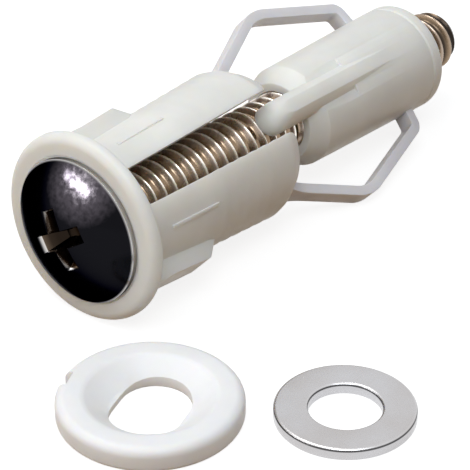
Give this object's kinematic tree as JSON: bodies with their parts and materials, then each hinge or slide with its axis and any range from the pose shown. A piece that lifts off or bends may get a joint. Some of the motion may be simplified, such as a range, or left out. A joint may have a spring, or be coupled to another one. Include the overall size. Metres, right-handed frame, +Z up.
{
  "type": "toilet seat hinge fixing",
  "caption": "Expanding top-fix bolt for a toilet seat hinge: domed screw, split flanged plug, conical nut on flexible straps, with a loose plastic washer and a steel washer.",
  "frame": {"origin": "on the floor, at the centre of the footprint of the fixing and its two loose washers", "axes": "+X along the lying screw from its head to its tip, +Z up, +Y to the left of the screw"},
  "size_m": [0.0718, 0.0444, 0.0187],
  "materials": {
    "screw_steel": "polished dark head, warm grey thread",
    "plug_plastic": "translucent natural white",
    "washer_plastic": "smooth white",
    "washer_steel": "polished"
  },
  "bodies": {
    "plug": {"expansion_sleeve": "plug_plastic", "upper_strap": "plug_plastic", "lower_strap": "plug_plastic", "plastic_washer": "washer_plastic", "steel_washer": "washer_steel"},
    "screw": {"screw": "screw_steel"},
    "nut": {"expander_nut": "plug_plastic"}
  },
  "joints": [
    {"name": "screw_turn", "type": "hinge", "parent": "plug", "child": "screw", "pos_m": [-0.01765, 0.01287, 0.00933], "axis": [0.9991, 0, -0.0415], "range_deg": [-540, 1620]},
    {"name": "nut_draw", "type": "slide", "parent": "plug", "child": "nut", "axis": [-0.9991, 0, 0.0415], "range_m": [-0.00217, 0.00653], "deforming": ["upper_strap", "lower_strap"]}
  ],
  "couplings": [
    {"joint": "screw_turn", "follows": "nut_draw", "rad_per_m": 4333.2}
  ]
}
